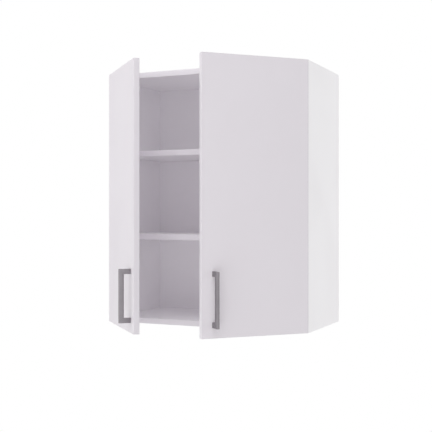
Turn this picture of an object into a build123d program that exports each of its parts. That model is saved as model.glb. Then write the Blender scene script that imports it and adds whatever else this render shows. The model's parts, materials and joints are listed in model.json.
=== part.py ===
from build123d import *
import os

os.makedirs("parts", exist_ok=True)

# A two-door wall cabinet with both doors standing open.
# Frame: origin midway between the two wall hangers, on the wall plane.
# +X is to the right for someone facing the doors, +Y points into the wall, +Z is up.
# Lengths are in millimetres and angles in degrees.

# ---------------------------------------------------------------- driving dimensions

# Carcass
cabinet_width = 600.0
cabinet_height = 720.0
carcass_depth = 280.0
board = 16.0
edging = 1.0
back_thickness = 3.0
back_void = 15.0
groove_depth = 6.0
groove_end_gap = 0.5

# Shelves, by the height of the underside above the bottom of the carcass
lower_shelf_height = 240.0
upper_shelf_height = 480.0
shelf_board = 16.0
shelf_end_gap = 0.5
shelf_setback = 10.0
shelf_rear_gap = 1.0
shelf_pin_radius = 2.5
shelf_pin_depth = 8.0
shelf_pin_reach = 8.0
shelf_pin_front = 50.0
shelf_pin_rear = 60.0

# Corner joints of the carcass: cam lock, its bolt, and a dowel beside it
cam_radius = 7.5
cam_height = 12.5
cam_distance = 24.0
cam_slot_width = 1.4
cam_slot_length = 10.5
cam_slot_depth = 2.0
bolt_radius = 3.0
bolt_thread_radius = 2.5
bolt_thread_depth = 11.0
dowel_radius = 4.0
dowel_face_depth = 10.0
dowel_end_depth = 19.0
dowel_chamfer = 0.8
joint_front = 40.0
joint_rear = 72.0
joint_step = 32.0

# Keyhole hanger plates at the upper rear corners
hanger_inset = 30.0
hanger_drop = 35.0
hanger_plate = 2.0
hanger_size = 46.0
hanger_margin = 4.0
hanger_corner = 3.0
keyhole_radius = 6.5
keyhole_slot_radius = 3.5
keyhole_rise = 9.0
hanger_screw_radius = 1.75
hanger_screw_head = 3.5
hanger_screw_head_height = 1.2
hanger_screw_length = 20.0
hanger_screw_rim = 0.5
hanger_upper_screw_drop = 18.4
hanger_lower_screw_rise = 6.9
hanger_top_screw_inset = 13.8

# Doors
door_thickness = 16.0
door_side_reveal = 1.5
door_end_reveal = 2.0
door_centre_gap = 3.0
door_gap = 2.0
door_angle = 46.0
bumper_radius = 4.0
bumper_height = 1.6
bumper_round = 1.1
bumper_inset = 20.0

# Bow handles, square in section, near the lower free corner of each door
handle_strip = 13.5
handle_width = 8.0
handle_hole_spacing = 128.0
handle_standoff = 32.0
handle_edge_distance = 32.0
handle_end_distance = 27.0
handle_chamfer = 0.6
handle_screw_radius = 2.0
handle_screw_depth = 12.0
handle_screw_head = 4.2
handle_screw_head_height = 2.0

# Concealed cup hinges
hinge_end_distance = 100.0
axis_inset = 5.0
axis_forward = 9.0
cup_radius = 17.5
cup_edge_distance = 5.0
cup_depth = 11.7
cup_wall = 1.0
flange_thickness = 1.0
flange_rim = 1.5
flange_length = 62.0
flange_ear = 16.0
flange_corner = 5.3
cup_screw_spacing = 48.0
cup_screw_offset = 6.0
cup_screw_radius = 1.75
cup_screw_head = 3.4
cup_screw_head_height = 0.9
cup_screw_length = 12.0
plate_setback = 37.0
plate_thickness = 2.0
plate_wing_length = 48.0
plate_wing_width = 18.0
plate_wing_corner = 6.0
plate_length = 38.0
plate_rib_height = 8.5
plate_screw_spacing = 32.0
plate_screw_radius = 2.5
plate_screw_head = 4.0
plate_screw_head_height = 1.6
plate_screw_depth = 11.0
arm_sheet = 1.5
arm_half_width = 8.5
arm_rear_overhang = 3.0
arm_high_end = 1.0
arm_flange_end = 6.0
arm_bend = 2.5
arm_clearance = 0.5
arm_screw_radius = 3.0
arm_screw_head = 4.5
arm_screw_head_height = 2.5
arm_screw_back = 9.0
link_pin_inset = 31.0
link_pin_forward = 8.5
link_pin_radius = 1.25
link_radius = 2.1
link_length = 19.0
link_sheet = 1.5
link_side_gap = 1.4
link_closed_angle = 172.7
link_ratio = 0.317

# Small clearances
bore_clearance = 0.1
thread_clearance = 0.05
pin_clearance = 0.05
hole_clearance = 0.4
bore_end_gap = 1.0

# ---------------------------------------------------------------- derived positions

left_x = -cabinet_width / 2
inner_x = left_x + board
wall_y = 0.0
front_y = wall_y - carcass_depth
board_front_y = front_y + edging
back_rear_y = wall_y - back_void
back_front_y = back_rear_y - back_thickness
top_z = hanger_drop
bottom_z = top_z - cabinet_height
inner_top_z = top_z - board
inner_bottom_z = bottom_z + board
shelf_heights = {"lower": lower_shelf_height, "upper": upper_shelf_height}

joint_ys = [front_y + joint_front, wall_y - joint_rear - joint_step]
shelf_pin_ys = [front_y + shelf_pin_front, wall_y - shelf_pin_rear]

door_x = left_x + door_side_reveal
door_free_x = -door_centre_gap / 2
door_inner_y = front_y - door_gap
door_outer_y = door_inner_y - door_thickness
door_bottom_z = bottom_z + door_end_reveal
door_top_z = top_z - door_end_reveal
hinge_zs = {"upper": door_top_z - hinge_end_distance, "lower": door_bottom_z + hinge_end_distance}
axis_x = left_x + axis_inset
axis_y = front_y - axis_forward

handle_x = door_free_x - handle_edge_distance
handle_bottom_z = door_bottom_z + handle_end_distance
handle_length = handle_hole_spacing + handle_strip
handle_hole_zs = [handle_bottom_z + handle_strip / 2 + n * handle_hole_spacing for n in (0, 1)]

cup_x = door_x + cup_edge_distance + cup_radius
cup_screw_x = cup_x + cup_screw_offset
plate_y = front_y + plate_setback
plate_screw_zs = [-plate_screw_spacing / 2, plate_screw_spacing / 2]
rib_x = inner_x + plate_thickness + plate_rib_height
arm_inner_half = arm_half_width - arm_sheet
arm_rear_y = plate_y + plate_length / 2 + arm_rear_overhang
arm_screw_y = plate_y + arm_screw_back
link_pin_x = left_x + link_pin_inset
link_pin_y = front_y - link_pin_forward
link_half_width = arm_inner_half - link_side_gap


# ---------------------------------------------------------------- helpers

def block(xs, ys, zs):
    """A box between the low and high limits of each axis."""
    size = [pair[1] - pair[0] for pair in (xs, ys, zs)]
    return Pos(xs[0], ys[0], zs[0]) * Box(*size, align=(Align.MIN, Align.MIN, Align.MIN))


def rod(radius, start, end):
    """A round bar from one point to another."""
    path = Vector(*end) - Vector(*start)
    seat = Plane(origin=start, z_dir=path)
    return seat * Cylinder(radius, path.length, align=(Align.CENTER, Align.CENTER, Align.MIN))


def cut(shape, tools):
    """The shape with every tool taken away from it."""
    for tool in tools:
        shape = shape - tool
    return shape


def mirrored(shape):
    """The same piece on the other side of the cabinet."""
    return mirror(shape, about=Plane.YZ)


def both_sides(shapes):
    """Left pieces followed by their mirror images."""
    return list(shapes) + [mirrored(shape) for shape in shapes]


def group(shapes):
    """Separate solids kept together in one node."""
    return Compound(children=[solid for shape in shapes for solid in shape.solids()])


def opened(shape):
    """A piece of the left door, modelled closed, swung out to the rest angle."""
    hinge_line = Axis((axis_x, axis_y, 0), (0, 0, 1))
    return shape.rotate(hinge_line, -door_angle)


# ---------------------------------------------------------------- corner joints

def corner_face(upper):
    """Height of the outer face of the top or bottom panel, and the sign of its way inwards."""
    return (top_z, -1) if upper else (bottom_z, 1)


def corner_middle(upper):
    """Height of the middle plane of the top or bottom panel."""
    outer, inward = corner_face(upper)
    return outer + inward * board / 2


def cam_bores(upper, slack):
    """Round seats of the cam locks, open to the panel's outer face."""
    outer, inward = corner_face(upper)
    cam_x = inner_x + cam_distance
    return [rod(cam_radius, (cam_x, y, outer), (cam_x, y, outer + inward * (cam_height + slack)))
            for y in joint_ys]


def bolt_rods(upper, slack):
    """Shafts of the cam bolts inside the panel, from its end to past the cam's centre."""
    middle = corner_middle(upper)
    reach = inner_x + cam_distance + bolt_radius / 2
    return [rod(bolt_radius + slack, (inner_x, y, middle), (reach, y, middle)) for y in joint_ys]


def bolt_threads(upper, slack, end_gap):
    """Threaded ends of the cam bolts inside the side panel."""
    middle = corner_middle(upper)
    tip = inner_x - bolt_thread_depth - end_gap
    return [rod(bolt_thread_radius + slack, (tip, y, middle), (inner_x, y, middle)) for y in joint_ys]


def dowel_rods(upper, slack, end_gap):
    """Dowels beside the cam bolts, or their holes with some slack."""
    middle = corner_middle(upper)
    start = inner_x - dowel_face_depth - end_gap
    end = inner_x + dowel_end_depth + end_gap
    return [rod(dowel_radius + slack, (start, y + joint_step, middle), (end, y + joint_step, middle))
            for y in joint_ys]


def cam_lock_pieces(upper):
    """Cam discs with a driver slot and a pocket for the bolt's head."""
    outer, inward = corner_face(upper)
    cam_x = inner_x + cam_distance
    discs = []
    for y in joint_ys:
        end = outer + inward * cam_height
        disc = rod(cam_radius - bore_clearance, (cam_x, y, outer), (cam_x, y, end))
        slot = block((cam_x - cam_slot_width / 2, cam_x + cam_slot_width / 2),
                     (y - cam_slot_length / 2, y + cam_slot_length / 2),
                     sorted((outer, outer + inward * cam_slot_depth)))
        discs.append(cut(disc, [slot] + bolt_rods(upper, bore_clearance)))
    return discs


def cam_bolt_pieces(upper):
    """Cam bolts, each one solid: a thread in the side panel and a shaft in the other."""
    shafts = bolt_rods(upper, 0)
    threads = bolt_threads(upper, 0, 0)
    return [shaft + thread for shaft, thread in zip(shafts, threads)]


def dowel_pieces(upper):
    """Dowels with chamfered ends."""
    pegs = dowel_rods(upper, 0, 0)
    return [chamfer(peg.edges().filter_by(GeomType.CIRCLE), dowel_chamfer) for peg in pegs]


# ---------------------------------------------------------------- hanger plates

def hanger_limits():
    """X and Z limits of the left hanger plate."""
    low_x = left_x + hanger_margin
    high_z = top_z - hanger_margin
    return (low_x, low_x + hanger_size), (high_z - hanger_size, high_z)


def hanger_screw_points():
    """Centres of the plate's screws: two in the side panel's rear edge, one in the top's."""
    xs, zs = hanger_limits()
    edge_distance = hanger_margin + hanger_screw_rim + hanger_screw_head
    side_x = left_x + edge_distance
    top_screw_z = top_z - edge_distance
    return [(side_x, zs[1] - hanger_upper_screw_drop), (side_x, zs[0] + hanger_lower_screw_rise),
            (xs[1] - hanger_top_screw_inset, top_screw_z)]


def hanger_screw_holes(radius, end_gap):
    """Straight holes or shanks of the hanger screws, running forward into the boards."""
    tip = wall_y - hanger_screw_length - end_gap
    return [rod(radius, (x, wall_y, z), (x, tip, z)) for x, z in hanger_screw_points()]


def hanger_plate_piece():
    """Steel plate with a keyhole whose slot rises from the entry hole."""
    xs, zs = hanger_limits()
    middle = Location(((xs[0] + xs[1]) / 2, wall_y, (zs[0] + zs[1]) / 2), (90, 0, 0))
    plate = middle * extrude(RectangleRounded(hanger_size, hanger_size, hanger_corner), hanger_plate)
    hole_x = left_x + hanger_inset
    rear = wall_y + hanger_plate
    front = wall_y - 2 * hanger_plate
    entry = rod(keyhole_radius, (hole_x, rear, 0), (hole_x, front, 0))
    slot_top = rod(keyhole_slot_radius, (hole_x, rear, keyhole_rise), (hole_x, front, keyhole_rise))
    slot = block((hole_x - keyhole_slot_radius, hole_x + keyhole_slot_radius), (front, rear),
                 (0, keyhole_rise))
    seat_y = wall_y - hanger_screw_head_height
    heads = [rod(hanger_screw_head + bore_clearance, (x, wall_y, z), (x, seat_y, z))
             for x, z in hanger_screw_points()]
    shanks = hanger_screw_holes(hanger_screw_radius + bore_clearance, 0)
    return cut(plate, [entry, slot_top, slot] + heads + shanks)


def hanger_recess():
    """Pocket in the rear edges of the boards that takes the hanger plate flush."""
    xs, zs = hanger_limits()
    return block(xs, (wall_y - hanger_plate, wall_y), zs)


def hanger_screw_pieces():
    """Screws with flat heads sunk in the hanger plate."""
    screws = []
    for x, z in hanger_screw_points():
        head_front = wall_y - hanger_screw_head_height
        head = rod(hanger_screw_head, (x, wall_y, z), (x, head_front, z))
        shank = rod(hanger_screw_radius, (x, head_front, z), (x, wall_y - hanger_screw_length, z))
        screws.append(head + shank)
    return screws


# ---------------------------------------------------------------- carcass boards

def shelf_pin_rods(height, radius, end_gap):
    """Round supports half in the side panel, half under the end of a shelf."""
    z = bottom_z + height + shelf_pin_radius
    start = inner_x - shelf_pin_depth - end_gap
    end = inner_x + shelf_pin_reach
    return [rod(radius, (start, y, z), (end, y, z)) for y in shelf_pin_ys]


def side_panel():
    """Left side panel: full height, grooved for the back and bored for what joins it."""
    panel = block((left_x, inner_x), (board_front_y, wall_y), (bottom_z, top_z))
    groove = block((inner_x - groove_depth, inner_x), (back_front_y, back_rear_y),
                   (inner_bottom_z - groove_depth, inner_top_z + groove_depth))
    bores = [groove, hanger_recess()]
    bores += hanger_screw_holes(hanger_screw_radius + thread_clearance, bore_end_gap)
    for upper in (False, True):
        bores += dowel_rods(upper, bore_clearance, bore_end_gap / 2)
        bores += bolt_threads(upper, thread_clearance, bore_end_gap / 2)
    for height in shelf_heights.values():
        bores += shelf_pin_rods(height, shelf_pin_radius + thread_clearance, bore_end_gap / 2)
    for hinge_z in hinge_zs.values():
        bores += plate_screw_shanks(hinge_z, plate_screw_radius + thread_clearance, bore_end_gap / 2)
    return cut(panel, bores)


def end_panel(upper):
    """Top or bottom panel between the sides, grooved for the back."""
    outer, inward = corner_face(upper)
    inner = outer + inward * board
    panel = block((inner_x, -inner_x), (board_front_y, wall_y), sorted((outer, inner)))
    groove = block((inner_x, -inner_x), (back_front_y, back_rear_y),
                   sorted((inner, inner - inward * groove_depth)))
    bores = dowel_rods(upper, bore_clearance, bore_end_gap / 2)
    bores += bolt_rods(upper, hole_clearance)
    bores += cam_bores(upper, bore_clearance)
    if upper:
        bores += [hanger_recess()]
        bores += hanger_screw_holes(hanger_screw_radius + thread_clearance, bore_end_gap)
    return cut(panel, [groove] + both_sides(bores))


def back_panel():
    """Thin back held in the grooves of the four carcass boards."""
    reach = groove_depth - groove_end_gap
    return block((inner_x - reach, -inner_x + reach), (back_front_y, back_rear_y),
                 (inner_bottom_z - reach, inner_top_z + reach))


def side_edging():
    """Edge band on the front of the left side panel."""
    return block((left_x, inner_x), (front_y, board_front_y), (bottom_z, top_z))


def end_edging(upper):
    """Edge band on the front of the top or bottom panel."""
    outer, inward = corner_face(upper)
    return block((inner_x, -inner_x), (front_y, board_front_y), sorted((outer, outer + inward * board)))


def shelf_limits(height):
    """Limits of a whole shelf, its edge band included."""
    low_z = bottom_z + height
    xs = (inner_x + shelf_end_gap, -inner_x - shelf_end_gap)
    ys = (front_y + shelf_setback, back_front_y - shelf_rear_gap)
    return xs, ys, (low_z, low_z + shelf_board)


def shelf(height):
    """Shelf board, notched under its ends so that the pins lie hidden inside it."""
    xs, ys, zs = shelf_limits(height)
    panel = block(xs, (ys[0] + edging, ys[1]), zs)
    half = shelf_pin_radius + bore_clearance
    notches = [block((xs[0], inner_x + shelf_pin_reach + bore_end_gap), (y - half, y + half),
                     (zs[0], zs[0] + 2 * shelf_pin_radius))
               for y in shelf_pin_ys]
    return cut(panel, both_sides(notches))


def shelf_edging(height):
    """Edge band on the front of a shelf."""
    xs, ys, zs = shelf_limits(height)
    return block(xs, (ys[0], ys[0] + edging), zs)


# ---------------------------------------------------------------- hinges

def plate_screw_shanks(hinge_z, radius, end_gap):
    """Shanks of the two mounting plate screws, or their bores in the side panel."""
    start = inner_x + plate_thickness
    tip = inner_x - plate_screw_depth - end_gap
    return [rod(radius, (start, plate_y, hinge_z + dz), (tip, plate_y, hinge_z + dz))
            for dz in plate_screw_zs]


def arm_screw_rod(hinge_z, radius, start_x):
    """Shank of the screw that clamps the arm, or its bore."""
    return rod(radius, (start_x, arm_screw_y, hinge_z), (inner_x + plate_thickness, arm_screw_y, hinge_z))


def hinge_plate(hinge_z):
    """Mounting plate: two wings screwed to the side panel and a rib that carries the arm."""
    wings = extrude(RectangleRounded(plate_wing_width, plate_wing_length, plate_wing_corner), plate_thickness)
    wings = Plane(origin=(inner_x, plate_y, hinge_z), x_dir=(0, 1, 0), z_dir=(1, 0, 0)) * wings
    rib_half = arm_inner_half - arm_clearance
    rib = block((inner_x, rib_x), (plate_y - plate_length / 2, plate_y + plate_length / 2),
                (hinge_z - rib_half, hinge_z + rib_half))
    holes = plate_screw_shanks(hinge_z, plate_screw_radius + bore_clearance, 0)
    clamp = arm_screw_rod(hinge_z, arm_screw_radius + thread_clearance, rib_x)
    return cut(wings + rib, holes + [clamp])


def arm_profile(shift):
    """Side view of the hinge arm: low over the plate, raised where it dips into the cup."""
    tip_y = link_pin_y - link_radius - arm_clearance
    high_x = link_pin_x + link_radius + arm_clearance + arm_sheet
    low_x = link_pin_x - link_radius - arm_sheet
    top_x = rib_x + arm_sheet
    base_x = inner_x + plate_thickness + arm_clearance
    rise_y = plate_y - plate_length / 2 - arm_clearance
    points = [(low_x, tip_y), (high_x, tip_y), (high_x, front_y + arm_high_end), (top_x, rise_y),
              (top_x, arm_rear_y), (base_x, arm_rear_y), (base_x, front_y + arm_flange_end),
              (low_x, front_y - door_gap)]
    outline = make_face(Polyline([(x - shift, y) for x, y in points], close=True))
    bends = outline.vertices().filter_by_position(Axis.Y, front_y, plate_y).sort_by(Axis.X)[-2:]
    return fillet(bends, arm_bend)


def hinge_arm(hinge_z):
    """Arm bent from sheet as a channel, open towards the side panel and at both ends."""
    outer = extrude(Pos(0, 0, hinge_z - arm_half_width) * arm_profile(0), 2 * arm_half_width)
    inner = extrude(Pos(0, 0, hinge_z - arm_inner_half) * arm_profile(arm_sheet), 2 * arm_inner_half)
    pin_hole = link_pin(hinge_z, link_pin_radius + pin_clearance)
    screw_hole = rod(arm_screw_radius + hole_clearance, (rib_x, arm_screw_y, hinge_z),
                     (rib_x + 2 * arm_sheet, arm_screw_y, hinge_z))
    return cut(outer, [inner, pin_hole, screw_hole])


def link_pin(hinge_z, radius):
    """Pin across the arm's tip that the link turns on."""
    return rod(radius, (link_pin_x, link_pin_y, hinge_z - arm_half_width),
               (link_pin_x, link_pin_y, hinge_z + arm_half_width))


def hinge_link(hinge_z):
    """Link of two cheeks, a web and an eye; its free eye stays inside the door's cup."""
    length = 2 * link_half_width
    cheeks = extrude(SlotCenterToCenter(link_length, 2 * link_radius), length)
    body = Pos(link_length / 2, 0, -link_half_width) * cheeks
    gap_half = link_half_width - link_sheet
    gap = block((-2 * link_radius, link_length - link_radius), (-2 * link_radius, link_radius - link_sheet),
                (-gap_half, gap_half))
    bearing = block((-2 * link_radius, link_radius), (-2 * link_radius, 2 * link_radius),
                    (-gap_half, gap_half))
    eyes = [rod(link_pin_radius + pin_clearance, (x, 0, -length), (x, 0, length)) for x in (0, link_length)]
    local = cut(body, [gap, bearing] + eyes)
    angle = link_closed_angle + link_ratio * door_angle
    return Location((link_pin_x, link_pin_y, hinge_z), (0, 0, angle)) * local


def cup_cylinder(hinge_z, radius, y_from, y_to):
    """A round form on the axis of the hinge cup."""
    return rod(radius, (cup_x, y_from, hinge_z), (cup_x, y_to, hinge_z))


def cup_screw_points(hinge_z):
    """Heights of the two screws that hold the cup's flange."""
    return [hinge_z - cup_screw_spacing / 2, hinge_z + cup_screw_spacing / 2]


def cup_screw_shanks(hinge_z, radius, end_gap):
    """Shanks of the cup screws, or their bores in the door."""
    start = door_inner_y + flange_thickness
    tip = door_inner_y - cup_screw_length - end_gap
    return [rod(radius, (cup_screw_x, start, z), (cup_screw_x, tip, z)) for z in cup_screw_points(hinge_z)]


def hinge_cup(hinge_z):
    """Pressed cup with a flange that lies on the door's inner face."""
    flange_y = door_inner_y + flange_thickness
    floor_y = door_inner_y - cup_depth
    pot = cup_cylinder(hinge_z, cup_radius - bore_clearance, floor_y, flange_y)
    rim = cup_cylinder(hinge_z, cup_radius + flange_rim, door_inner_y, flange_y)
    ears = extrude(RectangleRounded(flange_ear, flange_length, flange_corner), flange_thickness)
    ears = Location((cup_screw_x, flange_y, hinge_z), (90, 0, 0)) * ears
    hollow = cup_cylinder(hinge_z, cup_radius - bore_clearance - cup_wall, floor_y + cup_wall, flange_y)
    holes = cup_screw_shanks(hinge_z, cup_screw_radius + bore_clearance, 0)
    return cut(pot + rim + ears, [hollow] + holes)


def screws_x(points, start_x, head_radius, head_height, radius, tip_x):
    """Screws along X with their heads on a face that looks towards +X."""
    pieces = []
    for y, z in points:
        head = rod(head_radius, (start_x, y, z), (start_x + head_height, y, z))
        shank = rod(radius, (start_x, y, z), (tip_x, y, z))
        pieces.append(head + shank)
    return pieces


def screws_y(points, start_y, head_radius, head_height, radius, tip_y):
    """Screws along Y with their heads on a face that looks towards +Y."""
    pieces = []
    for x, z in points:
        head = rod(head_radius, (x, start_y, z), (x, start_y + head_height, z))
        shank = rod(radius, (x, start_y, z), (x, tip_y, z))
        pieces.append(head + shank)
    return pieces


def plate_screw_pieces():
    """Screws of the mounting plates on the left side panel."""
    points = [(plate_y, z + dz) for z in hinge_zs.values() for dz in plate_screw_zs]
    return screws_x(points, inner_x + plate_thickness, plate_screw_head, plate_screw_head_height,
                    plate_screw_radius, inner_x - plate_screw_depth)


def arm_screw_pieces():
    """Screws that clamp the left arms on their plates."""
    points = [(arm_screw_y, z) for z in hinge_zs.values()]
    return screws_x(points, rib_x + arm_sheet, arm_screw_head, arm_screw_head_height,
                    arm_screw_radius, inner_x + plate_thickness)


def cup_screw_pieces():
    """Screws of the cups in the left door."""
    points = [(cup_screw_x, z) for hinge_z in hinge_zs.values() for z in cup_screw_points(hinge_z)]
    return screws_y(points, door_inner_y + flange_thickness, cup_screw_head, cup_screw_head_height,
                    cup_screw_radius, door_inner_y - cup_screw_length)


# ---------------------------------------------------------------- doors

def door():
    """Left door board, bored for the cups, their screws and the handle."""
    panel = block((door_x + edging, door_free_x - edging), (door_outer_y, door_inner_y),
                  (door_bottom_z + edging, door_top_z - edging))
    hole_radius = handle_screw_radius + hole_clearance
    bores = [rod(hole_radius, (handle_x, door_inner_y, z), (handle_x, door_outer_y, z))
             for z in handle_hole_zs]
    cup_end_y = door_inner_y - cup_depth - bore_clearance
    for hinge_z in hinge_zs.values():
        bores.append(cup_cylinder(hinge_z, cup_radius, door_inner_y, cup_end_y))
        bores += cup_screw_shanks(hinge_z, cup_screw_radius + thread_clearance, bore_end_gap)
    return cut(panel, bores)


def door_edging():
    """Edge band round all four edges of the left door."""
    outside = block((door_x, door_free_x), (door_outer_y, door_inner_y), (door_bottom_z, door_top_z))
    inside = block((door_x + edging, door_free_x - edging), (door_outer_y, door_inner_y),
                   (door_bottom_z + edging, door_top_z - edging))
    return outside - inside


def handle():
    """Bow handle: a square-cornered U of flat bar with a threaded hole in each leg."""
    xs = (handle_x - handle_width / 2, handle_x + handle_width / 2)
    outer_y = door_outer_y - handle_standoff
    bow = block(xs, (outer_y, door_outer_y), (handle_bottom_z, handle_bottom_z + handle_length))
    gap = block(xs, (outer_y + handle_strip, door_outer_y),
                (handle_bottom_z + handle_strip, handle_bottom_z + handle_length - handle_strip))
    bow = bow - gap
    bow = chamfer(bow.edges(), handle_chamfer)
    threads = [rod(handle_screw_radius + thread_clearance, (handle_x, door_outer_y, z),
                   (handle_x, door_outer_y - handle_screw_depth - bore_end_gap, z))
               for z in handle_hole_zs]
    return cut(bow, threads)


def handle_screw_pieces():
    """Machine screws from the inside of the left door into the handle's legs."""
    points = [(handle_x, z) for z in handle_hole_zs]
    return screws_y(points, door_inner_y, handle_screw_head, handle_screw_head_height,
                    handle_screw_radius, door_outer_y - handle_screw_depth)


def bumper_pieces():
    """Soft discs that meet the front edges of the top and bottom panels."""
    x = door_free_x - bumper_inset
    zs = [bottom_z + board / 2, top_z - board / 2]
    discs = [rod(bumper_radius, (x, door_inner_y, z), (x, door_inner_y + bumper_height, z)) for z in zs]
    rims = [disc.edges().filter_by(GeomType.CIRCLE).sort_by(Axis.Y)[-1] for disc in discs]
    return [fillet(rim, bumper_round) for rim in rims]


# ---------------------------------------------------------------- the assembly

def carcass_nodes():
    """Boards, edge bands, joints and hangers of the fixed box."""
    nodes = {}
    left_panel = side_panel()
    nodes["left_side_panel"] = left_panel
    nodes["right_side_panel"] = mirrored(left_panel)
    nodes["left_side_edging"] = side_edging()
    nodes["right_side_edging"] = mirrored(side_edging())
    for name, upper in (("bottom", False), ("top", True)):
        nodes[name + "_panel"] = end_panel(upper)
        nodes[name + "_edging"] = end_edging(upper)
    nodes["back_panel"] = back_panel()
    for name, height in shelf_heights.items():
        nodes[name + "_shelf"] = shelf(height)
        nodes[name + "_shelf_edging"] = shelf_edging(height)
        nodes[name + "_shelf_pins"] = group(both_sides(shelf_pin_rods(height, shelf_pin_radius, 0)))
    nodes["dowels"] = group(both_sides(dowel_pieces(False) + dowel_pieces(True)))
    nodes["cam_locks"] = group(both_sides(cam_lock_pieces(False) + cam_lock_pieces(True)))
    nodes["cam_bolts"] = group(both_sides(cam_bolt_pieces(False) + cam_bolt_pieces(True)))
    nodes["left_hanger_plate"] = hanger_plate_piece()
    nodes["right_hanger_plate"] = mirrored(hanger_plate_piece())
    nodes["hanger_screws"] = group(both_sides(hanger_screw_pieces()))
    return nodes


def hinge_nodes():
    """Plates, arms and pins on the carcass, and the links between arm and cup."""
    nodes = {}
    for level, hinge_z in hinge_zs.items():
        makers = {"plate": hinge_plate, "arm": hinge_arm, "link": hinge_link}
        for name, maker in makers.items():
            piece = maker(hinge_z)
            nodes["left_" + level + "_hinge_" + name] = piece
            nodes["right_" + level + "_hinge_" + name] = mirrored(piece)
    pins = [link_pin(hinge_z, link_pin_radius) for hinge_z in hinge_zs.values()]
    nodes["hinge_plate_screws"] = group(both_sides(plate_screw_pieces()))
    nodes["hinge_arm_screws"] = group(both_sides(arm_screw_pieces()))
    nodes["hinge_link_pins"] = group(both_sides(pins))
    return nodes


def door_nodes():
    """Everything that swings with each door."""
    left = {"door": [door()], "door_edging": [door_edging()], "handle": [handle()],
            "handle_screws": handle_screw_pieces(), "door_bumpers": bumper_pieces(),
            "cup_screws": cup_screw_pieces()}
    for level, hinge_z in hinge_zs.items():
        left[level + "_hinge_cup"] = [hinge_cup(hinge_z)]
    nodes = {}
    for name, pieces in left.items():
        swung = [opened(piece) for piece in pieces]
        nodes["left_" + name] = group(swung)
        nodes["right_" + name] = group([mirrored(piece) for piece in swung])
    return nodes


for node_name, shape in {**carcass_nodes(), **hinge_nodes(), **door_nodes()}.items():
    export_step(shape, "parts/" + node_name + ".step")
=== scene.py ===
import json
from math import cos, pi, radians, sin, tan

import bpy
import numpy as np
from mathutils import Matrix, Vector


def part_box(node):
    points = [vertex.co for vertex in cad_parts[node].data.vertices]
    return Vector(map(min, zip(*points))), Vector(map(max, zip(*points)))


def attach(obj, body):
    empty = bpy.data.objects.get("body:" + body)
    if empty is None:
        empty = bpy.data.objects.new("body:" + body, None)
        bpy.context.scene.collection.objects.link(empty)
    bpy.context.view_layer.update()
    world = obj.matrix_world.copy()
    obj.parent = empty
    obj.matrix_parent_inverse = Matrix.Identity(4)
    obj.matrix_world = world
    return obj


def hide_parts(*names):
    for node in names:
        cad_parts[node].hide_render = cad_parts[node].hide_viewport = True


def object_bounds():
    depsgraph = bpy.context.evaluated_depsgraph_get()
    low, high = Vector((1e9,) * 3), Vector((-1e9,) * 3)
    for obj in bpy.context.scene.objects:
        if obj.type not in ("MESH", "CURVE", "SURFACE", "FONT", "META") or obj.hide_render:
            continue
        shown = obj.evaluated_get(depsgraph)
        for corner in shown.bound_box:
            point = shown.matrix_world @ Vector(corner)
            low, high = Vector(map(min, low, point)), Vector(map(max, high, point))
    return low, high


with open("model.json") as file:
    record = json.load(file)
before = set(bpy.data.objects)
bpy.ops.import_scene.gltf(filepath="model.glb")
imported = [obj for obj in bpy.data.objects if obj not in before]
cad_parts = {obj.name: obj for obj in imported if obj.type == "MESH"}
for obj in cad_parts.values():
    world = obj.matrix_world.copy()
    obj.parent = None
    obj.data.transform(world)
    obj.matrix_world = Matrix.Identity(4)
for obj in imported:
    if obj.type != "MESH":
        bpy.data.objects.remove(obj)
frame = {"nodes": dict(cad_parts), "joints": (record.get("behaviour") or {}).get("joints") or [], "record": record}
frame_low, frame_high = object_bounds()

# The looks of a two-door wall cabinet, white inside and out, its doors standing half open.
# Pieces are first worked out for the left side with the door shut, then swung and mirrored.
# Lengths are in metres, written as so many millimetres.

MM = 0.001

# ------------ sizes read from the frame

left_side_low, left_side_high = np.array(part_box("left_side_panel"))
left_edging_low, left_edging_high = np.array(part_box("left_side_edging"))
left_x, inner_x = left_side_low[0], left_side_high[0]
bottom_z, top_z = left_side_low[2], left_side_high[2]
front_y, wall_y = left_edging_low[1], left_side_high[1]
board_thickness = inner_x - left_x
band_thickness = left_edging_high[1] - left_edging_low[1]

left_hinge = next(joint for joint in frame["joints"] if joint["name"] == "left_door_hinge")
hinge_line = np.array(left_hinge["pos_m"])
door_angle = radians(-left_hinge["range_deg"][0])

# ------------ sizes of the pieces

# Points on a quarter circle and round a turned piece, and the bend from which an edge is sharp
ARC_STEPS = 6
AROUND = 48
TURN = np.linspace(0, 2 * pi, AROUND, endpoint=False)
SHARP_ANGLE = radians(35)

# Doors and their bands
DOOR_THICKNESS = 16.0 * MM
DOOR_SIDE_REVEAL = 1.5 * MM
DOOR_END_REVEAL = 2.0 * MM
DOOR_CENTRE_GAP = 3.0 * MM
DOOR_GAP = 2.0 * MM
BAND_ARRIS = 0.7 * MM
BAND_BACK_ARRIS = 0.02 * MM
BAND_CORNER = 1.15 * MM

# Bow handles
HANDLE_STRIP = 13.5 * MM
HANDLE_WIDTH = 8.0 * MM
HANDLE_LENGTH = 141.5 * MM
HANDLE_STANDOFF = 32.0 * MM
HANDLE_EDGE_DISTANCE = 32.0 * MM
HANDLE_END_DISTANCE = 27.0 * MM
HANDLE_ARRIS = 1.0 * MM
HANDLE_CORNER = 1.1 * MM

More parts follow.
